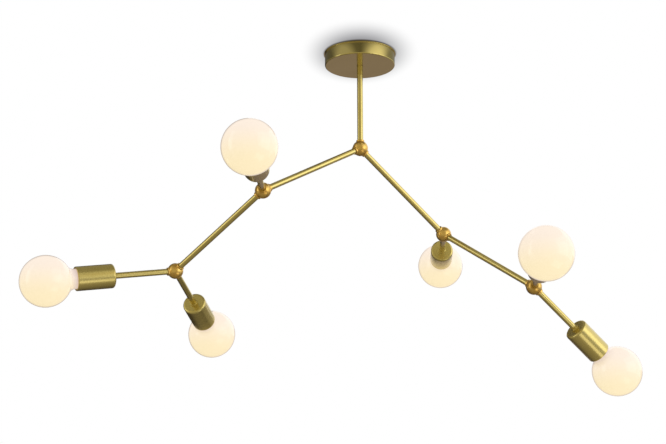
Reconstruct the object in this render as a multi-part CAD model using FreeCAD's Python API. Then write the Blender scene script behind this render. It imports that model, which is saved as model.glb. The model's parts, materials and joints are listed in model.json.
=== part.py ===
import FreeCAD, Part
import math
import os

# A branching ceiling light: one short stem, five three-way balls, four rods and six lamps.
# Millimetres. The origin is the centre of the canopy's rim, on the ceiling.
# +Z points up, +X to the right and +Y away from someone who faces the light.

# Ceiling canopy, a shallow spun dish with a lip against the ceiling
canopy_radius = 57.5
canopy_depth = 21.0
canopy_wall = 1.2
canopy_edge_radius = 1.5
canopy_lip_reach = 1.6
canopy_lip_height = 1.6
canopy_hole_clearance = 0.3

# Crossbar, a pressed steel hat bracket that the ceiling screws hold
bar_thickness = 2.0
bar_width = 20.0
bar_drop = 9.0
bar_plate_half = 22.0
bar_plate_back = 36.0
bar_plate_front = 20.0
bar_ear_depth = 16.0
bar_ear_gap = 2.3
slot_spacing = 74.0
slot_length = 20.0
slot_width = 4.5

# Screws of thread size M4: the two grub screws that hold the canopy and the earth screw
screw_radius = 2.0
screw_slot = 0.7
screw_head_radius = 3.5
screw_head_height = 1.4
canopy_screw_grip = 2.5
canopy_screw_inset = 0.2
earth_screw_length = 5.0
earth_screw_inset = 5.0

# Threaded joints between tubes, balls and nipple, drawn as plain shafts
thread_radius = 4.0
thread_clearance = 0.05
spigot_length = 6.0
turning_gap = 0.1

# Hanging nipple with its washer and locknut
nipple_length = 24.0
nipple_rise = 1.0
washer_radius = 8.0
washer_thickness = 1.2
nut_across_flats = 13.0
nut_thickness = 4.0
nipple_end_gap = 0.3

# Tubes
tube_radius = 4.75
tube_bore_radius = 2.5
tube_edge = 0.3

# Hollow balls with a round boss at each of three bores
ball_radius = 12.5
ball_wall = 4.0
boss_radius = 6.5
boss_face = 13.5
boss_edge = 0.4

# Lengths along the branches
stem_drop = 142.0
rod_spacing = 206.0
cup_distance = 101.0
globe_standoff = 46.0

# Directions. Each ball's two outgoing bores lie in one plane with the incoming one.
hub_left_angle = 118.7
hub_right_angle = 125.8
ball_angle = 120.0
hub_turn = 33.2
left_inner_twist = -199.8
left_outer_twist = -6.4
right_inner_twist = 158.7
right_outer_twist = -155.5

# Lamp cup and the collar that the arm carries behind it
cup_radius = 19.0
cup_length = 60.0
cup_wall = 1.2
cup_back = 2.0
cup_edge_radius = 3.5
cup_rim_radius = 1.4
collar_radius = 6.5
collar_length = 2.5
arm_thread_length = 9.5

# Lampholder for a 27 mm screw cap
holder_radius = 15.75
holder_mouth_inset = 6.5
holder_wall = 1.5
holder_base_length = 20.0
holder_chamber_radius = 9.0
holder_chamber_start = 8.5
holder_chamber_length = 7.5
sleeve_bore_radius = 13.5
sleeve_wall = 0.6
sleeve_start = 4.0
sleeve_length = 22.0
sleeve_clearance = 0.1
holder_contact_radius = 5.0
holder_contact_height = 4.0

# Bulb: round opal globe, 27 mm screw cap and centre contact
globe_radius = 40.0
glass_wall = 1.0
neck_radius = 15.7
neck_fillet = 11.35
neck_taper = 3.5
cap_rim_inset = 6.0
cap_radius = 13.2
cap_thread_depth = 1.0
cap_thread_pitch = 3.629
cap_thread_turns = 4
cap_rim_length = 5.0
cap_wall = 0.6
cap_floor = 4.0
cap_nose_radius = 5.2
cap_nose_length = 3.6
contact_radius = 4.8
contact_thickness = 1.2
contact_pin_radius = 1.5
contact_gap = 0.2

# Terminal block and the two-core lead
block_width = 18.0
block_length = 20.0
block_height = 7.8
block_edge = 0.8
block_start = 14.0
block_bore_radius = 1.6
block_bore_depth = 6.0
block_bore_inset = 4.5
block_pole_spacing = 8.0
block_screw_radius = 1.8
block_screw_depth = 3.5
lead_radius = 1.8
lead_bend_radius = 5.0
lead_height = 4.6
lead_grip = 3.0
lead_socket_clearance = 0.1
lead_split = 5.0
lead_end_inset = 4.0
splice_radius = 3.4

os.makedirs("parts", exist_ok=True)

up = FreeCAD.Vector(0, 0, 1)
half_turn = 180.0


def save(name, shape):
    """Write one named piece."""
    shape.exportStep("parts/" + name + ".step")
    print(name, len(shape.Solids), "solid(s)", round(shape.Volume, 1), "mm3")


def profile_point(point):
    return FreeCAD.Vector(point[0], 0, point[1])


def line(start, end):
    return Part.LineSegment(profile_point(start), profile_point(end)).toShape()


def arc_about(centre, radius, start_angle, end_angle):
    """Arc in the profile plane; angles in radians from the radial direction."""
    ends = []
    for angle in (start_angle, (start_angle + end_angle) / 2, end_angle):
        ends.append((centre[0] + radius * math.cos(angle), centre[1] + radius * math.sin(angle)))
    first, middle, last = [profile_point(end) for end in ends]
    return Part.Arc(first, middle, last).toShape(), ends[0], ends[2]


def lathe(edges):
    """Turn a closed profile of (radius, height) edges once round the Z axis."""
    wire = Part.Wire(Part.__sortEdges__(edges))
    return Part.Face(wire).revolve(FreeCAD.Vector(0, 0, 0), up, 360).Solids[0]


def turned(points):
    """Turn a closed profile of straight sides."""
    edges = []
    for index, point in enumerate(points):
        edges.append(line(points[index - 1], point))
    return lathe(edges)


def rod_along(start, end, radius):
    """Cylinder between two points."""
    reach = end - start
    return Part.makeCylinder(radius, reach.Length, start, reach)


def placed(shape, centre, direction):
    """Stand a piece that was made along +Z at a centre, pointing along a direction."""
    moved = shape.copy()
    moved.Placement = FreeCAD.Placement(centre, FreeCAD.Rotation(up, direction))
    return moved


def fork(back, twist, first_angle, second_angle):
    """Two directions in a plane with the direction back along the incoming tube."""
    reference = up
    if abs(back.dot(up)) > 0.95:
        reference = FreeCAD.Vector(0, 1, 0)
    side = back.cross(reference)
    side.normalize()
    side = FreeCAD.Rotation(back, twist).multVec(side)
    first = back * math.cos(math.radians(first_angle)) + side * math.sin(math.radians(first_angle))
    second = back * math.cos(math.radians(second_angle)) - side * math.sin(math.radians(second_angle))
    return first, second


# Heights inside the canopy, from the ceiling down
plate_top = -bar_drop
plate_bottom = plate_top - bar_thickness
washer_bottom = plate_bottom - washer_thickness
nut_bottom = washer_bottom - nut_thickness
nipple_top = plate_top + nipple_rise
nipple_bottom = nipple_top - nipple_length
stem_top = nut_bottom - turning_gap
socket_bottom = nipple_bottom - nipple_end_gap
hole_radius = thread_radius + thread_clearance
ear_face = canopy_radius - canopy_wall - bar_ear_gap
screw_height = -canopy_depth / 2
block_bottom = plate_top
lead_top = -lead_height

# Where the balls are and which way everything points
hub_centre = FreeCAD.Vector(0, 0, -canopy_depth - stem_drop)
left_direction, right_direction = fork(up, hub_turn, hub_left_angle, hub_right_angle)
left_inner_centre = hub_centre + left_direction * rod_spacing
right_inner_centre = hub_centre + right_direction * rod_spacing
left_outer_direction, front_left_direction = fork(
    -left_direction, left_inner_twist, ball_angle, ball_angle)
right_outer_direction, back_right_direction = fork(
    -right_direction, right_inner_twist, ball_angle, ball_angle)
left_outer_centre = left_inner_centre + left_outer_direction * rod_spacing
right_outer_centre = right_inner_centre + right_outer_direction * rod_spacing
far_left_direction, back_left_direction = fork(
    -left_outer_direction, left_outer_twist, ball_angle, ball_angle)
front_right_direction, low_right_direction = fork(
    -right_outer_direction, right_outer_twist, ball_angle, ball_angle)

# Distances from a ball's centre along a lamp arm
cup_inside = cup_distance + cup_back
cup_mouth = cup_distance + cup_length
globe_distance = cup_mouth + globe_standoff
holder_mouth = cup_mouth - holder_mouth_inset
holder_seat = cup_inside + holder_base_length
cap_rim = cup_mouth - cap_rim_inset
thread_start = cap_rim - cap_rim_length - cap_thread_pitch * cap_thread_turns
cap_bottom = thread_start - cap_nose_length
contact_bottom = cap_bottom - turning_gap - contact_thickness


def make_canopy():
    inner = canopy_radius - canopy_wall
    hole = tube_radius + canopy_hole_clearance
    lip = canopy_radius + canopy_lip_reach
    inner_edge = canopy_edge_radius - canopy_wall
    corner = (canopy_radius - canopy_edge_radius, canopy_edge_radius - canopy_depth)
    outer_arc, outer_low, outer_high = arc_about(corner, canopy_edge_radius, -math.pi / 2, 0)
    inner_arc, inner_low, inner_high = arc_about(corner, inner_edge, -math.pi / 2, 0)
    shell = lathe([
        line((hole, -canopy_depth), outer_low),
        outer_arc,
        line(outer_high, (canopy_radius, -canopy_lip_height)),
        line((canopy_radius, -canopy_lip_height), (lip, -canopy_lip_height)),
        line((lip, -canopy_lip_height), (lip, 0)),
        line((lip, 0), (inner, 0)),
        line((inner, 0), inner_high),
        inner_arc,
        line(inner_low, (hole, canopy_wall - canopy_depth)),
        line((hole, canopy_wall - canopy_depth), (hole, -canopy_depth)),
    ])
    for side in (-1, 1):
        start = FreeCAD.Vector(side * ear_face, 0, screw_height)
        end = FreeCAD.Vector(side * (canopy_radius + canopy_lip_reach), 0, screw_height)
        shell = shell.cut(rod_along(start, end, screw_radius + thread_clearance))
    return shell


def make_crossbar():
    plate = Part.makeBox(2 * bar_plate_half, bar_plate_front + bar_plate_back, bar_thickness,
                         FreeCAD.Vector(-bar_plate_half, -bar_plate_front, plate_bottom))
    bar = plate
    for side in (-1, 1):
        inner = bar_plate_half - bar_thickness
        foot = Part.makeBox(ear_face - inner, bar_width, bar_thickness,
                            FreeCAD.Vector(inner, -bar_width / 2, -bar_thickness))
        leg = Part.makeBox(bar_thickness, bar_width, -plate_bottom,
                           FreeCAD.Vector(inner, -bar_width / 2, plate_bottom))
        ear = Part.makeBox(bar_thickness, bar_width, bar_ear_depth,
                           FreeCAD.Vector(ear_face - bar_thickness, -bar_width / 2, -bar_ear_depth))
        half = foot.fuse(leg).fuse(ear)
        straight = slot_length - slot_width
        slot = Part.makeBox(straight, slot_width, bar_thickness,
                            FreeCAD.Vector((slot_spacing - straight) / 2, -slot_width / 2, -bar_thickness))
        for end in (-1, 1):
            centre = FreeCAD.Vector((slot_spacing + end * straight) / 2, 0, -bar_thickness)
            slot = slot.fuse(Part.makeCylinder(slot_width / 2, bar_thickness, centre))
        half = half.cut(slot)
        start = FreeCAD.Vector(ear_face - bar_thickness, 0, screw_height)
        end = FreeCAD.Vector(ear_face, 0, screw_height)
        half = half.cut(rod_along(start, end, screw_radius + thread_clearance))
        if side < 0:
            half.rotate(FreeCAD.Vector(0, 0, 0), up, half_turn)
        bar = bar.fuse(half)
    bar = bar.cut(Part.makeCylinder(hole_radius, bar_thickness, FreeCAD.Vector(0, 0, plate_bottom)))
    earth = FreeCAD.Vector(0, earth_screw_inset - bar_plate_front, plate_bottom)
    bar = bar.cut(Part.makeCylinder(screw_radius + thread_clearance, bar_thickness, earth))
    return bar.removeSplitter().Solids[0]


def make_screw(length):
    """Low round-headed screw along +Z: head below zero, shank above, slot across the head."""
    screw = turned([
        (0, -screw_head_height),
        (screw_head_radius - boss_edge, -screw_head_height),
        (screw_head_radius, boss_edge - screw_head_height),
        (screw_head_radius, 0),
        (screw_radius, 0),
        (screw_radius, length),
        (0, length),
    ])
    slot = Part.makeBox(2 * screw_head_radius, screw_slot, screw_slot,
                        FreeCAD.Vector(-screw_head_radius, -screw_slot / 2, -screw_head_height))
    return screw.cut(slot).Solids[0]


def make_canopy_screws():
    """Slotted grub screws through the bracket's ears, flush with the canopy's side."""
    outer_end = canopy_radius - canopy_screw_inset
    length = outer_end - ear_face + bar_thickness + canopy_screw_grip
    screw = turned([
        (0, 0),
        (screw_radius - boss_edge, 0),
        (screw_radius, boss_edge),
        (screw_radius, length),
        (0, length),
    ])
    slot = Part.makeBox(2 * screw_radius, screw_slot, screw_slot,
                        FreeCAD.Vector(-screw_radius, -screw_slot / 2, 0))
    screw = screw.cut(slot).Solids[0]
    screws = []
    for side in (-1, 1):
        seat = FreeCAD.Vector(side * outer_end, 0, screw_height)
        screws.append(placed(screw, seat, FreeCAD.Vector(-side, 0, 0)))
    return Part.makeCompound(screws)


def make_earth_screw():
    seat = FreeCAD.Vector(0, earth_screw_inset - bar_plate_front, plate_top)
    return placed(make_screw(earth_screw_length), seat, -up)


def make_nipple():
    return turned([
        (tube_bore_radius, nipple_bottom),
        (thread_radius, nipple_bottom),
        (thread_radius, nipple_top),
        (tube_bore_radius, nipple_top),
    ])


def make_washer():
    return turned([
        (hole_radius, washer_bottom),
        (washer_radius, washer_bottom),
        (washer_radius, plate_bottom),
        (hole_radius, plate_bottom),
    ])


def make_locknut():
    corner_radius = nut_across_flats / 2 / math.cos(math.pi / 6)
    corners = []
    for index in range(6):
        angle = index * math.pi / 3
        corners.append(FreeCAD.Vector(corner_radius * math.cos(angle), corner_radius * math.sin(angle),
                                      nut_bottom))
    corners.append(corners[0])
    prism = Part.Face(Part.makePolygon(corners)).extrude(up * nut_thickness)
    bore = Part.makeCylinder(hole_radius, nut_thickness, FreeCAD.Vector(0, 0, nut_bottom))
    return prism.cut(bore).Solids[0]


def make_terminal_block():
    """Two-pole block: the supply wires enter from above, the lead at the front, the clamps at the back."""
    corner = FreeCAD.Vector(-block_width / 2, block_start, block_bottom)
    block = Part.makeBox(block_width, block_length, block_height, corner)
    rounded = []
    for edge in block.Edges:
        if abs(edge.tangentAt(edge.FirstParameter).z) > 0.5:
            rounded.append(edge)
    block = block.makeFillet(block_edge, rounded)
    front = FreeCAD.Vector(0, block_start, lead_top)
    grip = front + FreeCAD.Vector(0, lead_grip, 0)
    block = block.cut(rod_along(front, grip, lead_radius + lead_socket_clearance))
    block_top = block_bottom + block_height
    block_back = block_start + block_length
    for side in (-1, 1):
        across = side * block_pole_spacing / 2
        wire_top = FreeCAD.Vector(across, block_back - block_bore_inset, block_top)
        wire_end = wire_top - up * block_bore_depth
        block = block.cut(rod_along(wire_end, wire_top, block_bore_radius))
        clamp_face = FreeCAD.Vector(across, block_back, lead_top)
        clamp_seat = clamp_face - FreeCAD.Vector(0, block_screw_depth, 0)
        block = block.cut(rod_along(clamp_seat, clamp_face, block_screw_radius))
    return block.Solids[0]


def make_canopy_lead():
    """Lead from the terminal block, over a bend and down inside the nipple."""
    block_end = FreeCAD.Vector(0, block_start + lead_grip, lead_top)
    bend_start = FreeCAD.Vector(0, lead_bend_radius, lead_top)
    bend_end = FreeCAD.Vector(0, 0, lead_top - lead_bend_radius)
    part_way = lead_bend_radius * (1 - math.sqrt(0.5))
    bend_middle = FreeCAD.Vector(0, part_way, lead_top - part_way)
    stem_end = FreeCAD.Vector(0, 0, socket_bottom)
    path = Part.Wire([
        Part.LineSegment(block_end, bend_start).toShape(),
        Part.Arc(bend_start, bend_middle, bend_end).toShape(),
        Part.LineSegment(bend_end, stem_end).toShape(),
    ])
    section = Part.Wire(Part.Circle(block_end, FreeCAD.Vector(0, 1, 0), lead_radius).toShape())
    return path.makePipeShell([section], True, False).Solids[0]


def make_tube(start, end, near_collar=0.0, far_thread=spigot_length):
    """Tube along +Z with a reduced threaded spigot past each shoulder, start and end."""
    points = [
        (tube_bore_radius, start - spigot_length),
        (thread_radius, start - spigot_length),
        (thread_radius, start),
        (tube_radius - tube_edge, start),
        (tube_radius, start + tube_edge),
    ]
    if near_collar > 0:
        points += [
            (tube_radius, end - near_collar),
            (collar_radius - tube_edge, end - near_collar),
            (collar_radius, end - near_collar + tube_edge),
            (collar_radius, end),
        ]
    else:
        points += [
            (tube_radius, end - tube_edge),
            (tube_radius - tube_edge, end),
        ]
    points += [
        (thread_radius, end),
        (thread_radius, end + far_thread),
        (tube_bore_radius, end + far_thread),
    ]
    return turned(points)


def make_stem():
    """Stem from the locknut down to the hub, bored out at the top for the nipple."""
    shoulder = hub_centre.z + boss_face
    return turned([
        (tube_bore_radius, shoulder - spigot_length),
        (thread_radius, shoulder - spigot_length),
        (thread_radius, shoulder),
        (tube_radius - tube_edge, shoulder),
        (tube_radius, shoulder + tube_edge),
        (tube_radius, stem_top - tube_edge),
        (tube_radius - tube_edge, stem_top),
        (hole_radius, stem_top),
        (hole_radius, socket_bottom),
        (tube_bore_radius, socket_bottom),
    ])


def make_ball(centre, directions):
    """Hollow ball with a bored boss along each direction."""
    ball = Part.makeSphere(ball_radius, centre)
    boss = turned([
        (0, 0),
        (boss_radius, 0),
        (boss_radius, boss_face - boss_edge),
        (boss_radius - boss_edge, boss_face),
        (0, boss_face),
    ])
    for direction in directions:
        ball = ball.fuse(placed(boss, centre, direction))
    ball = ball.cut(Part.makeSphere(ball_radius - ball_wall, centre))
    for direction in directions:
        ball = ball.cut(rod_along(centre, centre + direction * boss_face, hole_radius))
    return ball.Solids[0]


def make_leads(centre, incoming, incoming_length, arms, stubs):
    """Splice in a ball with the lead that comes in, the leads of its arms and short tails."""
    leads = Part.makeSphere(splice_radius, centre)
    leads = leads.fuse(rod_along(centre, centre + incoming * incoming_length, lead_radius))
    for direction in arms:
        length = cup_inside + holder_chamber_start + lead_end_inset
        leads = leads.fuse(rod_along(centre, centre + direction * length, lead_radius))
    for direction in stubs:
        leads = leads.fuse(rod_along(centre, centre + direction * lead_split, lead_radius))
    return leads.removeSplitter().Solids[0]


def make_cup():
    """Lamp cup along +Z: flat back, rounded edge, straight wall and a mouth rolled inwards."""
    inner = cup_radius - cup_wall
    inner_edge = cup_edge_radius - cup_wall
    corner = (cup_radius - cup_edge_radius, cup_distance + cup_edge_radius)
    outer_arc, outer_low, outer_high = arc_about(corner, cup_edge_radius, -math.pi / 2, 0)
    inside_corner = (inner - inner_edge, cup_inside + inner_edge)
    inner_arc, inner_low, inner_high = arc_about(inside_corner, inner_edge, -math.pi / 2, 0)
    rim_centre = (cup_radius - cup_rim_radius, cup_mouth - cup_rim_radius)
    rim_arc, rim_low, rim_high = arc_about(rim_centre, cup_rim_radius, 0, math.pi * 3 / 2)
    return lathe([
        line((hole_radius, cup_distance), outer_low),
        outer_arc,
        line(outer_high, rim_low),
        rim_arc,
        line(rim_high, (inner, rim_high[1])),
        line((inner, rim_high[1]), inner_high),
        inner_arc,
        line(inner_low, (hole_radius, cup_inside)),
        line((hole_radius, cup_inside), (hole_radius, cup_distance)),
    ])


def make_lampholder():
    """Ceramic body, screw sleeve and centre contact, along +Z."""
    chamber_bottom = cup_inside + holder_chamber_start
    chamber_top = chamber_bottom + holder_chamber_length
    body = turned([
        (0, chamber_top),
        (0, holder_seat),
        (holder_radius - holder_wall, holder_seat),
        (holder_radius - holder_wall, holder_mouth),
        (holder_radius, holder_mouth),
        (holder_radius, cup_inside + holder_wall),
        (holder_radius - holder_wall, cup_inside),
        (hole_radius, cup_inside),
        (hole_radius, chamber_bottom),
        (holder_chamber_radius, chamber_bottom),
        (holder_chamber_radius, chamber_top),
    ])
    sleeve_outer = holder_radius - holder_wall - sleeve_clearance
    sleeve_bottom = holder_seat + sleeve_start
    sleeve = turned([
        (sleeve_bore_radius, sleeve_bottom),
        (sleeve_bore_radius + sleeve_wall, sleeve_bottom),
        (sleeve_outer, sleeve_bottom + sleeve_wall),
        (sleeve_outer, sleeve_bottom + sleeve_length),
        (sleeve_bore_radius, sleeve_bottom + sleeve_length),
    ])
    tip = contact_bottom - contact_gap
    contact = turned([
        (0, holder_seat),
        (holder_contact_radius, holder_seat),
        (holder_contact_radius, tip - holder_contact_height / 2),
        (holder_contact_radius / 2, tip),
        (0, tip),
    ])
    return Part.makeCompound([body, sleeve, contact])


def make_globe():
    """Opal glass globe with its neck, along +Z, one even wall thick."""
    across = neck_radius + neck_fillet
    fillet_height = globe_distance - math.sqrt((globe_radius + neck_fillet) ** 2 - across ** 2)
    tilt = math.atan2(fillet_height - globe_distance, across)
    edges = []
    ends = []
    for inset in (0.0, glass_wall):
        ball_arc, neck_end, pole = arc_about((0, globe_distance), globe_radius - inset, tilt, math.pi / 2)
        fillet_arc, touch, neck_top = arc_about((across, fillet_height), neck_fillet + inset,
                                                tilt + math.pi, math.pi)
        neck_low = (neck_radius - inset, cap_rim + neck_taper)
        rim = (cap_radius - inset, cap_rim)
        edges += [
            ball_arc,
            fillet_arc,
            line(neck_top, neck_low),
            line(neck_low, rim),
        ]
        ends.append((pole, rim))
    edges.append(line(ends[0][0], ends[1][0]))
    edges.append(line(ends[0][1], ends[1][1]))
    return lathe(edges)


def make_cap():
    """Screw cap of the bulb, along +Z, with rounded thread rings and a bored nose."""
    crest = cap_radius
    valley = cap_radius - cap_thread_depth
    middle = (crest + valley) / 2
    inner = valley - cap_wall
    floor_top = cap_bottom + cap_floor
    pin_hole = contact_pin_radius + thread_clearance
    edges = [
        line((pin_hole, cap_bottom), (cap_nose_radius, cap_bottom)),
        line((cap_nose_radius, cap_bottom), (middle, thread_start)),
    ]
    for turn in range(cap_thread_turns):
        low = thread_start + turn * cap_thread_pitch
        half = low + cap_thread_pitch / 2
        high = low + cap_thread_pitch
        ridge_middle = (crest, (low + half) / 2)
        groove_middle = (valley, (half + high) / 2)
        edges.append(Part.Arc(profile_point((middle, low)), profile_point(ridge_middle),
                              profile_point((middle, half))).toShape())
        edges.append(Part.Arc(profile_point((middle, half)), profile_point(groove_middle),
                              profile_point((middle, high))).toShape())
    thread_end = thread_start + cap_thread_turns * cap_thread_pitch
    edges += [
        line((middle, thread_end), (crest, thread_end + cap_thread_depth)),
        line((crest, thread_end + cap_thread_depth), (crest, cap_rim)),
        line((crest, cap_rim), (inner, cap_rim)),
        line((inner, cap_rim), (inner, thread_start + cap_wall)),
        line((inner, thread_start + cap_wall), (cap_nose_radius, floor_top)),
        line((cap_nose_radius, floor_top), (pin_hole, floor_top)),
        line((pin_hole, floor_top), (pin_hole, cap_bottom)),
    ]
    return lathe(edges)


def make_contact():
    """Centre contact of the bulb: a disc with a pin up into the cap."""
    disc_top = contact_bottom + contact_thickness
    pin_top = cap_bottom + cap_floor
    return turned([
        (0, contact_bottom),
        (contact_radius - boss_edge, contact_bottom),
        (contact_radius, contact_bottom + boss_edge),
        (contact_radius, disc_top),
        (contact_pin_radius, disc_top),
        (contact_pin_radius, pin_top),
        (0, pin_top),
    ])


# Ceiling fixing
save("ceiling_crossbar", make_crossbar())
save("canopy", make_canopy())
save("canopy_screws", make_canopy_screws())
save("hanging_nipple", make_nipple())
save("nipple_washer", make_washer())
save("nipple_locknut", make_locknut())
save("terminal_block", make_terminal_block())
save("earth_screw", make_earth_screw())
save("canopy_lead", make_canopy_lead())

# Stem and hub
save("stem_tube", make_stem())
save("hub_ball", make_ball(hub_centre, [up, left_direction, right_direction]))
stem_lead_length = socket_bottom - hub_centre.z
save("stem_leads", make_leads(hub_centre, up, stem_lead_length, [], [left_direction, right_direction]))

# Four branches: each has a rod that turns in the ball it comes from, and a ball at its far end
branches = {
    "left_inner": {
        "from": hub_centre, "along": left_direction, "centre": left_inner_centre,
        "arms": [front_left_direction], "onward": [left_outer_direction],
    },
    "left_outer": {
        "from": left_inner_centre, "along": left_outer_direction, "centre": left_outer_centre,
        "arms": [far_left_direction, back_left_direction], "onward": [],
    },
    "right_inner": {
        "from": hub_centre, "along": right_direction, "centre": right_inner_centre,
        "arms": [back_right_direction], "onward": [right_outer_direction],
    },
    "right_outer": {
        "from": right_inner_centre, "along": right_outer_direction, "centre": right_outer_centre,
        "arms": [front_right_direction, low_right_direction], "onward": [],
    },
}
rod = make_tube(boss_face + turning_gap, rod_spacing - boss_face)
for name, branch in branches.items():
    back = -branch["along"]
    outlets = branch["arms"] + branch["onward"]
    save(name + "_rod", placed(rod, branch["from"], branch["along"]))
    save(name + "_ball", make_ball(branch["centre"], [back] + outlets))
    save(name + "_leads", make_leads(branch["centre"], back, rod_spacing - lead_split,
                                     branch["arms"], branch["onward"]))

# Six lamps, each on an arm from the ball of its branch
lamps = {
    "far_left": (left_outer_centre, far_left_direction),
    "back_left": (left_outer_centre, back_left_direction),
    "front_left": (left_inner_centre, front_left_direction),
    "back_right": (right_inner_centre, back_right_direction),
    "front_right": (right_outer_centre, front_right_direction),
    "low_right": (right_outer_centre, low_right_direction),
}
lamp_pieces = {
    "arm": make_tube(boss_face, cup_distance, collar_length, arm_thread_length),
    "cup": make_cup(),
    "lampholder": make_lampholder(),
    "bulb_globe": make_globe(),
    "bulb_cap": make_cap(),
    "bulb_contact": make_contact(),
}
for name, (centre, direction) in lamps.items():
    for piece, shape in lamp_pieces.items():
        save(name + "_" + piece, placed(shape, centre, direction))
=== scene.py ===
import bmesh
import bpy
import json
import math
from mathutils import Matrix, Vector

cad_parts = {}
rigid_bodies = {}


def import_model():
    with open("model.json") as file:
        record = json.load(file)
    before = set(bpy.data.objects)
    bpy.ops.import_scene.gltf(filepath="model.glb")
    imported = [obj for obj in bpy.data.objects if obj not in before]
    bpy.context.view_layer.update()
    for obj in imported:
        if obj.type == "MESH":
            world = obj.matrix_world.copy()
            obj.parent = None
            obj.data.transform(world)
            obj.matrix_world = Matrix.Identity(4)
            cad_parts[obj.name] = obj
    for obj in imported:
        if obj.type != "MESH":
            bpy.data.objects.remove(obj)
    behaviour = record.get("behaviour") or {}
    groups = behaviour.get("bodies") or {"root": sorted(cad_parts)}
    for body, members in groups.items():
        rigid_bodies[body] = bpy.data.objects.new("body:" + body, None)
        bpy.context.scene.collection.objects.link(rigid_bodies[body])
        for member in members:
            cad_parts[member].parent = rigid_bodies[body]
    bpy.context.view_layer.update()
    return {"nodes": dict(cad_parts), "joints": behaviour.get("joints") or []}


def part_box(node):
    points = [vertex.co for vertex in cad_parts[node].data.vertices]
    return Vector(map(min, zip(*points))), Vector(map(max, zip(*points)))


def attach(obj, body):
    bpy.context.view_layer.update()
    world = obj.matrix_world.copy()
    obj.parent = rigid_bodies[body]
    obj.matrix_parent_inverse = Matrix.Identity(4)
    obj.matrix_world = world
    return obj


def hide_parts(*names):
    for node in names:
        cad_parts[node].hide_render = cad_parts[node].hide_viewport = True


# A branching brass ceiling light with six lit opal globes. Sizes in the dictionaries are millimetres.
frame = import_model()
joints = {joint["name"]: joint for joint in frame["joints"]}
print("frame loaded:", len(frame["nodes"]), "nodes")


# Colour and node helpers

def linearColour(hexText):
    # sRGB hex to the linear red, green, blue and alpha that a shader takes
    channels = []
    for start in (1, 3, 5):
        value = int(hexText[start:start + 2], 16) / 255
        channels.append(value / 12.92 if value <= 0.04045 else ((value + 0.055) / 1.055) ** 2.4)
    return (*channels, 1.0)


def addNode(tree, kind, settings=None, inputs=None):
    # One node with its settings; an input is a constant or the socket that feeds it
    node = tree.nodes.new(kind)
    for name, value in (settings or {}).items():
        setattr(node, name, value)
    for name, value in (inputs or {}).items():
        if isinstance(value, bpy.types.NodeSocket):
            tree.links.new(value, node.inputs[name])
        else:
            node.inputs[name].default_value = value
    return node


def newMaterial(name):
    material = bpy.data.materials.new(name)
    material.use_nodes = True
    material.node_tree.nodes.clear()
    return material, material.node_tree


def finishMaterial(material, shader):
    addNode(material.node_tree, "ShaderNodeOutputMaterial", {"target": "ALL"}, {"Surface": shader})
    material.cycles.emission_sampling = "NONE"  # big dim glows come out smoother when only gloss finds them
    return material


# Finishes

noiseLow = 0.3             # a noise lies nearly all between these two
noiseHigh = 0.7

brassFinish = {
    "light": "#DDCA7E",
    "deep": "#CDB864",
    "roughness": 0.22,
    "glossSpread": 0.03,   # how far the brushing makes it duller and glossier
    "lacquer": 0.5,
    "brushPitch": 0.5,     # real brushing is finer; this is the finest that shows
    "brushLength": 25.0,
    "brushDepth": 0.0016,
    "cloudSize": 40.0,
}
canopyFinish = dict(brassFinish, roughness=0.17, cloudSize=70.0)
cupFinish = dict(brassFinish, roughness=0.29, brushDepth=0.0012, cloudSize=50.0)


def turnedBrass(name, finish):
    # Satin brass, brushed round its axis on a lathe and lacquered: greenish gold with soft bands
    # of light along the piece, and fine rings when seen close
    material, tree = newMaterial(name)
    place = addNode(tree, "ShaderNodeAttribute", {"attribute_name": "turnedPlace"}).outputs["Vector"]
    along = 1000 / finish["brushPitch"]
    around = 1000 / finish["brushLength"]
    streaks = addNode(tree, "ShaderNodeMapping", None, {"Vector": place, "Scale": (around, around, along)})
    brushing = addNode(tree, "ShaderNodeTexNoise", None, {
        "Vector": streaks.outputs["Vector"], "Scale": 1.0, "Detail": 3.0, "Roughness": 0.6})
    spread = addNode(tree, "ShaderNodeTexCoord").outputs["Object"]
    clouds = addNode(tree, "ShaderNodeTexNoise", None, {
        "Vector": spread, "Scale": 1000 / finish["cloudSize"], "Detail": 2.0})
    colour = addNode(tree, "ShaderNodeMix", {"data_type": "RGBA"}, {
        0: clouds.outputs["Fac"], 6: linearColour(finish["deep"]), 7: linearColour(finish["light"])})
    gloss = addNode(tree, "ShaderNodeMapRange", None, {
        "Value": brushing.outputs["Fac"], "From Min": noiseLow, "From Max": noiseHigh,
        "To Min": finish["roughness"] - finish["glossSpread"],
        "To Max": finish["roughness"] + finish["glossSpread"]})
    bump = addNode(tree, "ShaderNodeBump", None, {
        "Height": brushing.outputs["Fac"], "Strength": 0.6, "Distance": finish["brushDepth"] / 1000})
    metal = addNode(tree, "ShaderNodeBsdfPrincipled", None, {
        "Base Color": colour.outputs[2], "Metallic": 1.0, "Roughness": gloss.outputs["Result"],
        "Normal": bump.outputs["Normal"], "Coat Weight": finish["lacquer"], "Coat Roughness": 0.15})
    return finishMaterial(material, metal.outputs["BSDF"])


ballFinish = {
    "light": "#EFC870",
    "deep": "#E0B158",
    "lightRoughness": 0.24,
    "deepRoughness": 0.34,
    "mottleSize": 6.0,
    "deepUntil": 0.35,     # share of the mottling's range, as the next
    "lightFrom": 0.62,
    "grainSize": 0.6,
    "grainDepth": 0.002,
    # painted shade in the corner round each tube: its tone, how far it reaches, and the openness where it is
    # full and where it is gone
    "patina": "#5E4520",
    "patinaReach": 2.5,
    "patinaUntil": 0.35,   # how open a place is, from 0 in a corner to 1 on a bare ball
    "polishedFrom": 0.85,
}


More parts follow.
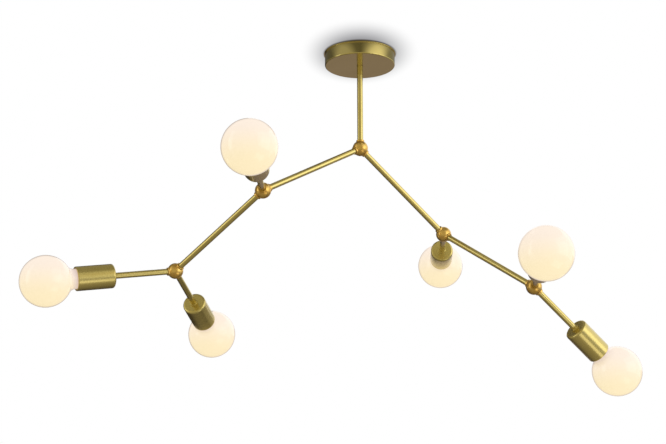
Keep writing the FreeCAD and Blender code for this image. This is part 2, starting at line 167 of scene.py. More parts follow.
def antiqueBrass(finish):
    # Cast brass balls, bronzed and polished: redder and deeper than the tubes, faintly mottled, with
    # painted shade darkening the corner round each tube
    material, tree = newMaterial("antiqueBrass")
    place = addNode(tree, "ShaderNodeTexCoord").outputs["Object"]
    mottle = addNode(tree, "ShaderNodeTexNoise", None, {
        "Vector": place, "Scale": 1000 / finish["mottleSize"], "Detail": 4.0, "Roughness": 0.55})
    grain = addNode(tree, "ShaderNodeTexNoise", None, {
        "Vector": place, "Scale": 1000 / finish["grainSize"], "Detail": 2.0})
    colour = addNode(tree, "ShaderNodeValToRGB", None, {"Fac": mottle.outputs["Fac"]})
    colour.color_ramp.elements[0].position = finish["deepUntil"]
    colour.color_ramp.elements[0].color = linearColour(finish["deep"])
    colour.color_ramp.elements[1].position = finish["lightFrom"]
    colour.color_ramp.elements[1].color = linearColour(finish["light"])
    gloss = addNode(tree, "ShaderNodeMapRange", None, {
        "Value": mottle.outputs["Fac"], "From Min": noiseLow, "From Max": noiseHigh,
        "To Min": finish["deepRoughness"], "To Max": finish["lightRoughness"]})
    bump = addNode(tree, "ShaderNodeBump", None, {
        "Height": grain.outputs["Fac"], "Strength": 0.5, "Distance": finish["grainDepth"] / 1000})
    # Painted shade: the colour darkens towards the shade tone in the corner round each tube, where a place
    # is less open
    openness = addNode(tree, "ShaderNodeAmbientOcclusion", {"samples": 8}, {
        "Distance": finish["patinaReach"] / 1000})
    unshadedShare = addNode(tree, "ShaderNodeMapRange", None, {
        "Value": openness.outputs["AO"],
        "From Min": finish["patinaUntil"], "From Max": finish["polishedFrom"]})
    cornerShaded = addNode(tree, "ShaderNodeMix", {"data_type": "RGBA"}, {
        0: unshadedShare.outputs["Result"], 6: linearColour(finish["patina"]), 7: colour.outputs["Color"]})
    metal = addNode(tree, "ShaderNodeBsdfPrincipled", None, {
        "Base Color": cornerShaded.outputs[2], "Metallic": 1.0, "Roughness": gloss.outputs["Result"],
        "Normal": bump.outputs["Normal"]})
    return finishMaterial(material, metal.outputs["BSDF"])


opalFinish = {
    "glass": "#A59E97",    # opal glass sends back under half of the light and lets the rest through
    "glow": "#FFEBB8",
    # painted light: the upper side of the globe paler, as if lit from above
    "upperGlow": "#FFEEDC",
    "lowerUntil": -0.8,    # where the skin faces, from -1 down to 1 up: the plain glow until here, and the painted top light from here
    "upperFrom": 0.7,      # and upper glow from here
    "neckGlow": "#FFE4DC",
    "neckStart": -4.0,     # distances past the mouth of the cup: neck glow until here,
    "neckEnd": 14.0,       # and full glow from here
    # painted shade: a greyer glow at the globe's outline
    "rimGlow": "#B4A69C",
    "rimFrom": 0.62,       # how far the skin turns away, from 0 to 1 at the outline
    "rimFull": 0.95,
    "strength": 0.80,
    "neckStrength": 0.50,
    "roughness": 0.14,
    "rippleSize": 40.0,
    "rippleDepth": 0.4,
}


def opalGlass(finish):
    # Blown opal glass with the lamp lit inside: a warm glow, duller towards the neck, under a smooth
    # glossy skin, with painted light making the upper side paler and painted shade making the outline greyer
    material, tree = newMaterial("opalGlass")
    place = addNode(tree, "ShaderNodeAttribute", {"attribute_name": "turnedPlace"}).outputs["Vector"]
    height = addNode(tree, "ShaderNodeSeparateXYZ", None, {"Vector": place}).outputs["Z"]
    full = addNode(tree, "ShaderNodeMapRange", {"interpolation_type": "SMOOTHSTEP"}, {
        "Value": height, "From Min": finish["neckStart"] / 1000, "From Max": finish["neckEnd"] / 1000})
    # Painted light: the glow turns paler where the skin faces up, as if lit from above
    facing = addNode(tree, "ShaderNodeNewGeometry").outputs["Normal"]
    lift = addNode(tree, "ShaderNodeSeparateXYZ", None, {"Vector": facing}).outputs["Z"]
    litFromAbove = addNode(tree, "ShaderNodeMapRange", {"interpolation_type": "SMOOTHSTEP"}, {
        "Value": lift, "From Min": finish["lowerUntil"], "From Max": finish["upperFrom"]})
    glowWithTopLight = addNode(tree, "ShaderNodeMix", {"data_type": "RGBA"}, {
        0: litFromAbove.outputs["Result"], 6: linearColour(finish["glow"]), 7: linearColour(finish["upperGlow"])})
    tint = addNode(tree, "ShaderNodeMix", {"data_type": "RGBA"}, {
        0: full.outputs["Result"], 6: linearColour(finish["neckGlow"]), 7: glowWithTopLight.outputs[2]})
    # Painted shade: the glow turns greyer towards the outline
    edge = addNode(tree, "ShaderNodeLayerWeight", None, {"Blend": 0.5})
    grazing = addNode(tree, "ShaderNodeMapRange", {"interpolation_type": "SMOOTHSTEP"}, {
        "Value": edge.outputs["Facing"], "From Min": finish["rimFrom"], "From Max": finish["rimFull"]})
    rim = addNode(tree, "ShaderNodeMix", {"data_type": "RGBA"}, {
        0: grazing.outputs["Result"], 6: tint.outputs[2], 7: linearColour(finish["rimGlow"])})
    strength = addNode(tree, "ShaderNodeMapRange", None, {
        "Value": full.outputs["Result"], "To Min": finish["neckStrength"], "To Max": finish["strength"]})
    spread = addNode(tree, "ShaderNodeTexCoord").outputs["Object"]
    cloud = addNode(tree, "ShaderNodeTexNoise", None, {
        "Vector": spread, "Scale": 1000 / finish["rippleSize"], "Detail": 1.0})
    ripple = addNode(tree, "ShaderNodeBump", None, {
        "Height": cloud.outputs["Fac"], "Strength": 0.3, "Distance": finish["rippleDepth"] / 1000})
    glass = addNode(tree, "ShaderNodeBsdfPrincipled", None, {
        "Base Color": linearColour(finish["glass"]), "Roughness": finish["roughness"], "IOR": 1.45,
        "Emission Color": rim.outputs[2], "Emission Strength": strength.outputs["Result"],
        "Normal": ripple.outputs["Normal"]})
    return finishMaterial(material, glass.outputs["BSDF"])


plainGlossSpread = 0.04
plainFinishes = {
    # light and deep colour, metallic, roughness, size of its mottling and depth of its grain
    "zincSteel": ("#C9CCD0", "#B4B8BE", 1.0, 0.38, 4.0, 0.010),
    "capMetal": ("#D5D6D4", "#C3C4C2", 1.0, 0.26, 6.0, 0.004),
    "contactBrass": ("#D9BC6A", "#C6A658", 1.0, 0.30, 3.0, 0.006),
    "whiteCeramic": ("#EFEDE6", "#E6E3DA", 0.0, 0.18, 8.0, 0.012),
    "terminalPlastic": ("#E9E6DC", "#E0DCD0", 0.0, 0.48, 1.5, 0.015),
    "siliconeSheath": ("#E4E1D8", "#D8D4C8", 0.0, 0.55, 1.0, 0.020),
}


def plainFinish(name):
    # Zinc-plated pressed steel, rolled cap metal, contact brass, glazed ceramic, moulded plastic and
    # silicone cable: each a faint cloud of two close colours with its own gloss and grain
    light, deep, metallic, roughness, size, depth = plainFinishes[name]
    material, tree = newMaterial(name)
    place = addNode(tree, "ShaderNodeTexCoord").outputs["Object"]
    cloud = addNode(tree, "ShaderNodeTexNoise", None, {
        "Vector": place, "Scale": 1000 / size, "Detail": 4.0, "Roughness": 0.6})
    colour = addNode(tree, "ShaderNodeValToRGB", None, {"Fac": cloud.outputs["Fac"]})
    colour.color_ramp.elements[0].position = noiseLow
    colour.color_ramp.elements[0].color = linearColour(deep)
    colour.color_ramp.elements[1].position = noiseHigh
    colour.color_ramp.elements[1].color = linearColour(light)
    gloss = addNode(tree, "ShaderNodeMapRange", None, {
        "Value": cloud.outputs["Fac"], "From Min": noiseLow, "From Max": noiseHigh,
        "To Min": roughness - plainGlossSpread, "To Max": roughness + plainGlossSpread})
    bump = addNode(tree, "ShaderNodeBump", None, {
        "Height": cloud.outputs["Fac"], "Strength": 0.5, "Distance": depth / 1000})
    surface = addNode(tree, "ShaderNodeBsdfPrincipled", None, {
        "Base Color": colour.outputs["Color"], "Metallic": metallic, "Roughness": gloss.outputs["Result"],
        "Normal": bump.outputs["Normal"]})
    return finishMaterial(material, surface.outputs["BSDF"])


finishes = {
    "satinBrass": turnedBrass("satinBrass", brassFinish),
    "canopyBrass": turnedBrass("canopyBrass", canopyFinish),
    "cupBrass": turnedBrass("cupBrass", cupFinish),
    "antiqueBrass": antiqueBrass(ballFinish),
    "opalGlass": opalGlass(opalFinish),
}
for finishName in plainFinishes:
    finishes[finishName] = plainFinish(finishName)
print("finishes made:", len(finishes))


# Turned pieces

turning = {
    "steps": 96,           # faces round each piece
    "filletStep": 15.0,    # degrees of a fillet for each of its faces
    "filletGuard": 0.12,   # stretch beside a fillet, as a share of its radius
    "sharpAngle": 50.0,
}


def roundedOutline(corners):
    # Closed outline of (radius, height) points from (radius, height, fillet) corners. The guard
    # stretch beside each fillet keeps the flats flat when the piece is shaded smooth.
    points = []
    count = len(corners)
    for index, (radius, height, fillet) in enumerate(corners):
        corner = Vector((radius, height))
        if fillet == 0:
            points.append(corner)
            continue
        before = Vector(corners[index - 1][:2]) - corner
        after = Vector(corners[(index + 1) % count][:2]) - corner
        before.normalize()
        after.normalize()
        half = before.angle(after) / 2
        reach = fillet / math.tan(half)
        guard = fillet * turning["filletGuard"]
        centre = corner + (before + after).normalized() * (fillet / math.sin(half))
        first = corner + before * reach - centre
        turn = math.pi - 2 * half
        side = 1 if before.x * after.y - before.y * after.x < 0 else -1
        steps = max(2, math.ceil(turn / math.radians(turning["filletStep"])))
        points.append(corner + before * (reach + guard))
        for step in range(steps + 1):
            angle = side * turn * step / steps
            points.append(centre + Matrix.Rotation(angle, 2) @ first)
        points.append(corner + after * (reach + guard))
    return points


def arcPoints(centre, radius, first, last, steps):
    # Points along an arc with both its ends, at angles in radians
    points = []
    for step in range(steps + 1):
        angle = first + (last - first) * step / steps
        points.append(Vector((centre[0] + radius * math.cos(angle), centre[1] + radius * math.sin(angle))))
    return points


def latheRing(work, radius, height):
    # One vertex on the axis, or a ring of them round it
    if radius == 0:
        return [work.verts.new((0, 0, height / 1000))]
    ring = []
    for step in range(turning["steps"]):
        angle = 2 * math.pi * step / turning["steps"]
        place = (radius * math.cos(angle), radius * math.sin(angle), height)
        ring.append(work.verts.new(Vector(place) / 1000))
    return ring


def bandCorners(low, high, step):
    # Corners of one face between two rings, each with 0 for the low ring or 1 for the high one
    onward = (step + 1) % turning["steps"]
    corners = {}
    for ring, turn, end in ((low, step, 0), (low, onward, 0), (high, onward, 1), (high, step, 1)):
        corners.setdefault(ring[turn % len(ring)], end)
    return corners


def turnedPattern(name, *outlines, heights=False):
    # Turns closed outlines once round +Z, with a material slot each. turnedPlace keeps where each
    # corner was on the lathe: across, across and the length along the outline, so that brushing runs
    # round the piece. With heights, the third is the height.
    work = bmesh.new()
    layer = work.loops.layers.float_vector.new("turnedPlace")
    for slot, outline in enumerate(outlines):
        if heights:
            lengths = [point.y for point in outline] + [outline[0].y]
        else:
            lengths = [0.0]
            for index in range(1, len(outline) + 1):
                lengths.append(lengths[-1] + (outline[index % len(outline)] - outline[index - 1]).length)
        rings = [latheRing(work, radius, height) for radius, height in outline]
        for index, low in enumerate(rings):
            high = rings[(index + 1) % len(rings)]
            if len(low) == 1 and len(high) == 1:
                continue
            for step in range(turning["steps"]):
                corners = bandCorners(low, high, step)
                face = work.faces.new(list(corners))
                face.smooth = True
                face.material_index = slot
                for loop, (vertex, end) in zip(face.loops, corners.items()):
                    loop[layer] = (vertex.co.x, vertex.co.y, lengths[index + end] / 1000)
    bmesh.ops.recalc_face_normals(work, faces=work.faces)
    mesh = bpy.data.meshes.new(name)
    work.to_mesh(mesh)
    work.free()
    mesh.set_sharp_from_angle(angle=math.radians(turning["sharpAngle"]))
    return mesh


def placePiece(name, mesh, centre, direction, materials, body, node):
    # Stands a copy of a turned mesh at a centre along a direction, with its place in its mesh
    turn = Vector((0, 0, 1)).rotation_difference(Vector(direction)).to_matrix().to_4x4()
    placed = mesh.copy()
    placed.name = name
    placed.transform(Matrix.Translation(centre) @ turn)
    placed.materials.clear()
    for material in materials:
        placed.materials.append(finishes[material])
    piece = bpy.data.objects.new(name, placed)
    bpy.context.scene.collection.objects.link(piece)
    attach(piece, body)
    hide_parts(node)


# Where the balls are and which way each branch and lamp points

ballGap = {"rodSpacing": 206.0, "bossFace": 13.5, "turningGap": 0.1}
branchAxis = {}
ballCentre = {}
for side in ("left", "right"):
    for reach in ("inner", "outer"):
        branch = side + "_" + reach
        joint = joints[branch + "_turn"]
        branchAxis[branch] = Vector(joint["axis"])
        ballCentre[branch] = Vector(joint["pos_m"]) + branchAxis[branch] * ballGap["rodSpacing"] / 1000
lamps = {}
for jointName, joint in joints.items():
    if jointName.endswith("_bulb_travel"):
        branch = joint["parent"].replace("_branch", "")
        lamps[jointName.replace("_bulb_travel", "")] = (branch, Vector(joint["axis"]))
print("lamps:", ", ".join(sorted(lamps)))

# Canopy
canopySizes = {
    "radius": 57.5, "depth": 21.0, "wall": 1.2, "edge": 1.5, "hole": 5.05,
    "lipReach": 1.6, "lipHeight": 1.6, "softening": 0.3, "lipSoftening": 0.12,
}


def canopyOutline(sizes):
    soft = sizes["softening"]
    radius = sizes["radius"]
    inner = radius - sizes["wall"]
    bottom = -sizes["depth"]
    ceiling = bottom + sizes["wall"]
    lip = radius + sizes["lipReach"]
    return roundedOutline([
        (inner, ceiling, soft), (sizes["hole"], ceiling, soft), (sizes["hole"], bottom, soft),
        (radius, bottom, sizes["edge"]), (radius, -sizes["lipHeight"], soft),
        (lip, -sizes["lipHeight"], sizes["lipSoftening"]), (lip, 0, sizes["lipSoftening"]),
        (inner, 0, soft),
    ])


canopyMesh = turnedPattern("canopyPattern", canopyOutline(canopySizes))
placePiece("canopyDish", canopyMesh, Vector((0, 0, 0)), (0, 0, 1), ["canopyBrass"],
           "ceiling_fixing", "canopy")
print("canopy turned")

# Stem, rods and lamp arms
tubeSizes = {
    "radius": 4.75, "bore": 2.5, "thread": 4.0, "threadLength": 6.0, "edge": 0.3,
    "collar": 6.5, "collarLength": 2.5, "collarEdge": 0.6, "cupThread": 9.5,
    "socketClearance": 0.05, "nippleGap": 0.3,
}


def tubeOutline(sizes, start, end, collarLength=0.0, farThread=None):
    # Tube with a reduced threaded end past each shoulder, and a collar before the far one if asked
    farThread = farThread or sizes["threadLength"]
    corners = [
        (sizes["bore"], end + farThread, 0), (sizes["bore"], start - sizes["threadLength"], 0),
        (sizes["thread"], start - sizes["threadLength"], 0), (sizes["thread"], start, 0),
        (sizes["radius"], start, sizes["edge"]),
    ]
    if collarLength:
        corners += [
            (sizes["radius"], end - collarLength, sizes["edge"]),
            (sizes["collar"], end - collarLength, sizes["collarEdge"]),
            (sizes["collar"], end, sizes["edge"]),
        ]
    else:
        corners.append((sizes["radius"], end, sizes["edge"]))
    corners += [(sizes["thread"], end, 0), (sizes["thread"], end + farThread, 0)]
    return roundedOutline(corners)


def stemOutline(sizes):
    # Bored out at the top for the nipple that it turns on
    low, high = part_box("stem_tube")
    bottom = low.z * 1000
    top = high.z * 1000
    shoulder = bottom + sizes["threadLength"]
    socket = sizes["thread"] + sizes["socketClearance"]
    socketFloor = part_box("hanging_nipple")[0].z * 1000 - sizes["nippleGap"]
    return roundedOutline([
        (sizes["bore"], socketFloor, 0), (sizes["bore"], bottom, 0),
        (sizes["thread"], bottom, 0), (sizes["thread"], shoulder, 0),
        (sizes["radius"], shoulder, sizes["edge"]), (sizes["radius"], top, sizes["edge"]),
        (socket, top, 0), (socket, socketFloor, 0),
    ])


stemMesh = turnedPattern("stemPattern", stemOutline(tubeSizes))
placePiece("stemTube", stemMesh, Vector((0, 0, 0)), (0, 0, 1), ["satinBrass"],
           "stem", "stem_tube")
rodMesh = turnedPattern("rodPattern", tubeOutline(
    tubeSizes, ballGap["bossFace"] + ballGap["turningGap"], ballGap["rodSpacing"] - ballGap["bossFace"]))
for branch, axis in branchAxis.items():
    start = ballCentre[branch] - axis * ballGap["rodSpacing"] / 1000
    placePiece(branch + "Rod", rodMesh, start, axis, ["satinBrass"],
               branch + "_branch", branch + "_rod")
print("stem and rods turned")

# Cups
cupSizes = {
    "start": 101.0, "length": 60.0, "radius": 19.0, "wall": 1.2, "back": 2.0,
    "edge": 3.5, "rim": 1.4, "hole": 4.05, "holeEdge": 0.2, "rollEdge": 0.15,
    "rimRounding": 0.98, "rollRounding": 0.9,    # shares of the rim's radius
}


def cupOutline(sizes):
    # Flat back with a well rounded edge, straight wall, and a mouth rolled inwards
    inner = sizes["radius"] - sizes["wall"]
    inside = sizes["start"] + sizes["back"]
    mouth = sizes["start"] + sizes["length"]
    bead = 2 * sizes["rim"]
    opening = sizes["radius"] - bead
    rimFillet = sizes["rim"] * sizes["rimRounding"]
    rollFillet = sizes["rim"] * sizes["rollRounding"]
    return roundedOutline([
        (inner, inside, sizes["edge"] - sizes["wall"]), (sizes["hole"], inside, sizes["holeEdge"]),
        (sizes["hole"], sizes["start"], sizes["holeEdge"]), (sizes["radius"], sizes["start"], sizes["edge"]),
        (sizes["radius"], mouth, rimFillet), (opening, mouth, rimFillet),
        (opening, mouth - bead, rollFillet), (inner, mouth - bead, sizes["rollEdge"]),
    ])


armMesh = turnedPattern("armPattern", tubeOutline(
    tubeSizes, ballGap["bossFace"], cupSizes["start"], tubeSizes["collarLength"], tubeSizes["cupThread"]))
cupMesh = turnedPattern("cupPattern", cupOutline(cupSizes))
for lamp, (branch, axis) in lamps.items():
    centre = ballCentre[branch]
    placePiece(lamp + "Arm", armMesh, centre, axis, ["satinBrass"],
               branch + "_branch", lamp + "_arm")
    placePiece(lamp + "Cup", cupMesh, centre, axis, ["cupBrass"],
               branch + "_branch", lamp + "_cup")
print("arms and cups turned")

# Lampholders: ceramic body, screw sleeve and centre contact
holderSizes = {
    "radius": 15.75, "mouthInset": 6.5, "wall": 1.5, "base": 20.0, "chamber": 9.0, "chamberStart": 8.5,
    "chamberLength": 7.5, "sleeveBore": 13.5, "sleeveWall": 0.6, "sleeveStart": 4.0, "sleeveLength": 22.0,
    "sleeveClearance": 0.1, "contact": 5.0, "contactGap": 1.5, "contactRise": 2.0, "glazedEdge": 0.5,
    "footBevel": 1.0, "sleeveEdge": 0.15, "contactEdge": 0.4,
}
globeSizes = {
    "standoff": 46.0, "radius": 40.0, "wall": 1.0, "neck": 15.7, "fillet": 11.35, "taper": 3.5,
    "rimInset": 6.0, "rim": 13.2, "bowlSteps": 48, "neckSteps": 8,
}
capSizes = {
    "radius": 13.2, "depth": 1.0, "pitch": 3.629, "turns": 4, "rimLength": 5.0, "wall": 0.6,
    "floor": 4.0, "nose": 5.2, "noseLength": 3.6, "pinHole": 1.55, "shoulder": 1.0, "ringsPerTurn": 12,
    "leastRolled": 7.2,    # the thread is rolled only into what stands farther out than this
}


def capHeights(cap, cup, globe):
    # Rim, end and start of the thread, and the nose, along the lamp's axis
    rim = cup["start"] + cup["length"] - globe["rimInset"]
    threadEnd = rim - cap["rimLength"]
    threadStart = threadEnd - cap["pitch"] * cap["turns"]
    return rim, threadEnd, threadStart, threadStart - cap["noseLength"]


def holderOutlines(sizes, cup, tip):
    # Ceramic body with a well and a wiring chamber, the sleeve in the well and the contact on its floor
    inside = cup["start"] + cup["back"]
    mouth = cup["start"] + cup["length"] - sizes["mouthInset"]
    seat = inside + sizes["base"]
    chamber = inside + sizes["chamberStart"]
    chamberTop = chamber + sizes["chamberLength"]
    well = sizes["radius"] - sizes["wall"]
    sleeveLow = seat + sizes["sleeveStart"]
    sleeveTop = sleeveLow + sizes["sleeveLength"]
    sleeveOuter = well - sizes["sleeveClearance"]
    glazed = sizes["glazedEdge"]
    body = roundedOutline([
        (0, chamberTop, 0), (0, seat, 0), (well, seat, glazed), (well, mouth, glazed),
        (sizes["radius"], mouth, glazed), (sizes["radius"], inside + sizes["footBevel"], 0),
        (well, inside, 0), (cup["hole"], inside, 0), (cup["hole"], chamber, 0),
        (sizes["chamber"], chamber, 0), (sizes["chamber"], chamberTop, 0),
    ])
    sleeve = roundedOutline([
        (sizes["sleeveBore"], sleeveLow, 0), (sizes["sleeveBore"] + sizes["sleeveWall"], sleeveLow, 0),
        (sleeveOuter, sleeveLow + sizes["sleeveWall"], 0), (sleeveOuter, sleeveTop, sizes["sleeveEdge"]),
        (sizes["sleeveBore"], sleeveTop, sizes["sleeveEdge"]),
    ])
    contact = roundedOutline([
        (0, seat, 0), (sizes["contact"], seat, 0),
        (sizes["contact"], tip - sizes["contactRise"], sizes["contactEdge"]),
        (sizes["contact"] / 2, tip, sizes["contactEdge"]), (0, tip, 0),
    ])
    return body, sleeve, contact


contactTip = capHeights(capSizes, cupSizes, globeSizes)[3] - holderSizes["contactGap"]
holderMesh = turnedPattern("holderPattern", *holderOutlines(holderSizes, cupSizes, contactTip))
for lamp, (branch, axis) in lamps.items():
    placePiece(lamp + "Lampholder", holderMesh, ballCentre[branch], axis,
               ["whiteCeramic", "capMetal", "contactBrass"],
               branch + "_branch", lamp + "_lampholder")
print("lampholders turned")


# Bulbs: opal globe and screw cap

def globeOutline(sizes, cup):
    # Outer skin from the pole to the rim of the cap, then the inner skin back
    mouth = cup["start"] + cup["length"]
    rimHeight = mouth - sizes["rimInset"]
    across = sizes["neck"] + sizes["fillet"]
    drop = math.sqrt((sizes["radius"] + sizes["fillet"]) ** 2 - across ** 2)
    centre = mouth + sizes["standoff"]
    filletHeight = centre - drop
    tilt = math.atan2(-drop, across)
    skins = []
    for inset in (0.0, sizes["wall"]):
        skin = arcPoints((0, centre), sizes["radius"] - inset, math.pi / 2, tilt, sizes["bowlSteps"])
        skin[0].x = 0
        skin += arcPoints((across, filletHeight), sizes["fillet"] + inset, tilt + math.pi, math.pi,
                          sizes["neckSteps"])[1:]
        skin.append(Vector((sizes["neck"] - inset, rimHeight + sizes["taper"])))
        skin.append(Vector((sizes["rim"] - inset, rimHeight)))
        skins.append(skin)
    outline = skins[0] + skins[1][::-1]
    return [Vector((point.x, point.y - mouth)) for point in outline]


def capOutline(sizes, cup, globe):
    # Thin pressed cap. The stretch for the thread is plain here, with rings close enough to roll.
    rim, threadEnd, threadStart, bottom = capHeights(sizes, cup, globe)
    middle = sizes["radius"] - sizes["depth"] / 2
    innerWall = middle - sizes["wall"]
    shoulder = threadEnd + sizes["shoulder"]
    rimInside = sizes["radius"] - sizes["wall"]
    rings = sizes["turns"] * sizes["ringsPerTurn"]
    outer = [Vector((sizes["pinHole"], bottom)), Vector((sizes["nose"], bottom))]
    inner = []
    for step in range(rings + 1):
        height = threadStart + (threadEnd - threadStart) * step / rings
        outer.append(Vector((middle, height)))
        inner.append(Vector((innerWall, height + sizes["wall"])))
    outer += [Vector((sizes["radius"], shoulder)), Vector((sizes["radius"], rim)),
              Vector((rimInside, rim)), Vector((rimInside, shoulder + sizes["wall"]))]
    floorTop = bottom + sizes["floor"]
    return outer + inner[::-1] + [Vector((sizes["nose"], floorTop)), Vector((sizes["pinHole"], floorTop))]


def rolledThreadTree():
    # Rolls a round thread into a plain turned wall: each point moves out or in along its own radius, by
    # a wave that climbs one pitch a turn and fades at both ends
    tree = bpy.data.node_groups.new("rolledThread", "GeometryNodeTree")
    tree.is_modifier = True
    tree.interface.new_socket("Geometry", in_out="INPUT", socket_type="NodeSocketGeometry")
    for name in ("Pitch", "Depth", "Start", "End", "Least Radius"):
        tree.interface.new_socket(name, in_out="INPUT", socket_type="NodeSocketFloat")
    tree.interface.new_socket("Finish", in_out="INPUT", socket_type="NodeSocketMaterial")
    tree.interface.new_socket("Geometry", in_out="OUTPUT", socket_type="NodeSocketGeometry")
    given = addNode(tree, "NodeGroupInput").outputs
    place = addNode(tree, "GeometryNodeInputPosition").outputs["Position"]
    parts = addNode(tree, "ShaderNodeSeparateXYZ", None, {"Vector": place}).outputs
    angle = addNode(tree, "ShaderNodeMath", {"operation": "ARCTAN2"}, {
        0: parts["Y"], 1: parts["X"]}).outputs[0]
    turnBack = addNode(tree, "ShaderNodeMath", {"operation": "MULTIPLY"}, {0: angle, 1: -1.0}).outputs[0]
    turns = addNode(tree, "ShaderNodeMath", {"operation": "DIVIDE"}, {
        0: parts["Z"], 1: given["Pitch"]}).outputs[0]
    phase = addNode(tree, "ShaderNodeMath", {"operation": "MULTIPLY_ADD"}, {
        0: turns, 1: 2 * math.pi, 2: turnBack}).outputs[0]
    wave = addNode(tree, "ShaderNodeMath", {"operation": "COSINE"}, {0: phase}).outputs[0]
    runOut = addNode(tree, "ShaderNodeMath", {"operation": "MULTIPLY"}, {
        0: given["Pitch"], 1: 0.5}).outputs[0]
    firstFull = addNode(tree, "ShaderNodeMath", {"operation": "ADD"}, {
        0: given["Start"], 1: runOut}).outputs[0]
    lastFull = addNode(tree, "ShaderNodeMath", {"operation": "SUBTRACT"}, {
        0: given["End"], 1: runOut}).outputs[0]
    rising = addNode(tree, "ShaderNodeMapRange", {"interpolation_type": "SMOOTHSTEP"}, {
        "Value": parts["Z"], "From Min": given["Start"], "From Max": firstFull}).outputs["Result"]
    falling = addNode(tree, "ShaderNodeMapRange", {"interpolation_type": "SMOOTHSTEP"}, {
        "Value": parts["Z"], "From Min": given["End"], "From Max": lastFull}).outputs["Result"]
    window = addNode(tree, "ShaderNodeMath", {"operation": "MULTIPLY"}, {0: rising, 1: falling}).outputs[0]
    height = addNode(tree, "ShaderNodeMath", {"operation": "MULTIPLY"}, {
        0: wave, 1: given["Depth"]}).outputs[0]
    swell = addNode(tree, "ShaderNodeMath", {"operation": "MULTIPLY"}, {0: height, 1: window}).outputs[0]
    halfSwell = addNode(tree, "ShaderNodeMath", {"operation": "MULTIPLY"}, {0: swell, 1: 0.5}).outputs[0]
    flat = addNode(tree, "ShaderNodeCombineXYZ", None, {"X": parts["X"], "Y": parts["Y"]}).outputs[0]
    outward = addNode(tree, "ShaderNodeVectorMath", {"operation": "NORMALIZE"}, {0: flat}).outputs["Vector"]
    radius = addNode(tree, "ShaderNodeVectorMath", {"operation": "LENGTH"}, {0: flat}).outputs["Value"]
    onWall = addNode(tree, "FunctionNodeCompare", {"data_type": "FLOAT", "operation": "GREATER_THAN"}, {
        0: radius, 1: given["Least Radius"]}).outputs[0]
    offset = addNode(tree, "ShaderNodeVectorMath", {"operation": "SCALE"}, {
        0: outward, "Scale": halfSwell}).outputs[0]
    rolled = addNode(tree, "GeometryNodeSetPosition", None, {
        "Geometry": given["Geometry"], "Selection": onWall, "Offset": offset}).outputs[0]
    whole = addNode(tree, "GeometryNodeRealizeInstances", None, {"Geometry": rolled}).outputs[0]
    finished = addNode(tree, "GeometryNodeSetMaterial", None, {
        "Geometry": whole, "Material": given["Finish"]})
    addNode(tree, "NodeGroupOutput", None, {"Geometry": finished.outputs[0]})
    return tree


def threadedCap(sizes, cup, globe):
    threadEnd, threadStart = capHeights(sizes, cup, globe)[1:3]
    blank = bpy.data.objects.new("capBlank", turnedPattern("capBlank", capOutline(sizes, cup, globe)))
    bpy.context.scene.collection.objects.link(blank)
    tree = rolledThreadTree()
    values = {
        "Pitch": sizes["pitch"] / 1000, "Depth": sizes["depth"] / 1000, "Start": threadStart / 1000,
        "End": threadEnd / 1000, "Least Radius": sizes["leastRolled"] / 1000, "Finish": finishes["capMetal"],
    }
    modifier = blank.modifiers.new("rolledThread", "NODES")
    modifier.node_group = tree
    for item in tree.interface.items_tree:
        if item.in_out == "INPUT" and item.name in values:
            modifier[item.identifier] = values[item.name]
    evaluated = blank.evaluated_get(bpy.context.evaluated_depsgraph_get())
    mesh = bpy.data.meshes.new_from_object(evaluated)
    bpy.data.objects.remove(blank)
    return mesh


globeMesh = turnedPattern("globePattern", globeOutline(globeSizes, cupSizes), heights=True)
globeMesh.transform(Matrix.Translation((0, 0, (cupSizes["start"] + cupSizes["length"]) / 1000)))
capMesh = threadedCap(capSizes, cupSizes, globeSizes)
for lamp, (branch, axis) in lamps.items():
    centre = ballCentre[branch]
    placePiece(lamp + "Globe", globeMesh, centre, axis, ["opalGlass"],
               lamp + "_bulb", lamp + "_bulb_globe")
    placePiece(lamp + "Cap", capMesh, centre, axis, ["capMetal"],
               lamp + "_bulb", lamp + "_bulb_cap")
print("bulbs turned and threaded")

# Finishes for the nodes whose shape stays
nodeFinish = {
    "ceiling_crossbar": "zincSteel", "canopy_screws": "contactBrass", "hanging_nipple": "zincSteel",
    "nipple_washer": "zincSteel", "nipple_locknut": "zincSteel", "terminal_block": "terminalPlastic",
    "earth_screw": "zincSteel",
}
endings = {"_ball": "antiqueBrass", "_leads": "siliconeSheath", "_lead": "siliconeSheath",
           "_bulb_contact": "contactBrass"}
for nodeName, node in frame["nodes"].items():
    finish = nodeFinish.get(nodeName, "satinBrass")
    for ending, name in endings.items():
        if nodeName.endswith(ending):
            finish = name
    for slot in node.material_slots:
        slot.material = finishes[finish]
print("kept nodes finished")

# Camera, fitted to the ball centres, bulb outlines and canopy in the photograph
cameraSetup = {
    "place": (-44.2, -2042.8, -814.7), "pitch": 14.51, "focalPixels": 1322.0, "imageWidth": 666,
    "sensorWidth": 36.0, "farthest": 50000.0,
}
cameraData = bpy.data.cameras.new("frontCamera")
camera = bpy.data.objects.new("frontCamera", cameraData)
bpy.context.scene.collection.objects.link(camera)
bpy.context.scene.camera = camera
cameraData.sensor_width = cameraSetup["sensorWidth"]
cameraData.lens = cameraSetup["focalPixels"] * cameraSetup["sensorWidth"] / cameraSetup["imageWidth"]
cameraData.clip_end = cameraSetup["farthest"] / 1000
camera.location = Vector(cameraSetup["place"]) / 1000
camera.rotation_euler = (math.radians(90 + cameraSetup["pitch"]), 0, 0)
print("camera placed")

# Stage: pale floor, white ceiling and surround, and the cards that the metal mirrors
stageSetup = {
    "middle": (0.0, 0.0, -280.0), "floorHeight": -2400.0, "ceilingGap": 0.4, "reach": 12000.0,
    "discSteps": 64, "floorTone": "#F4F3F1", "floorLift": 0.45, "roomLight": 0.50, "roomTint": "#F4F7FF",
}


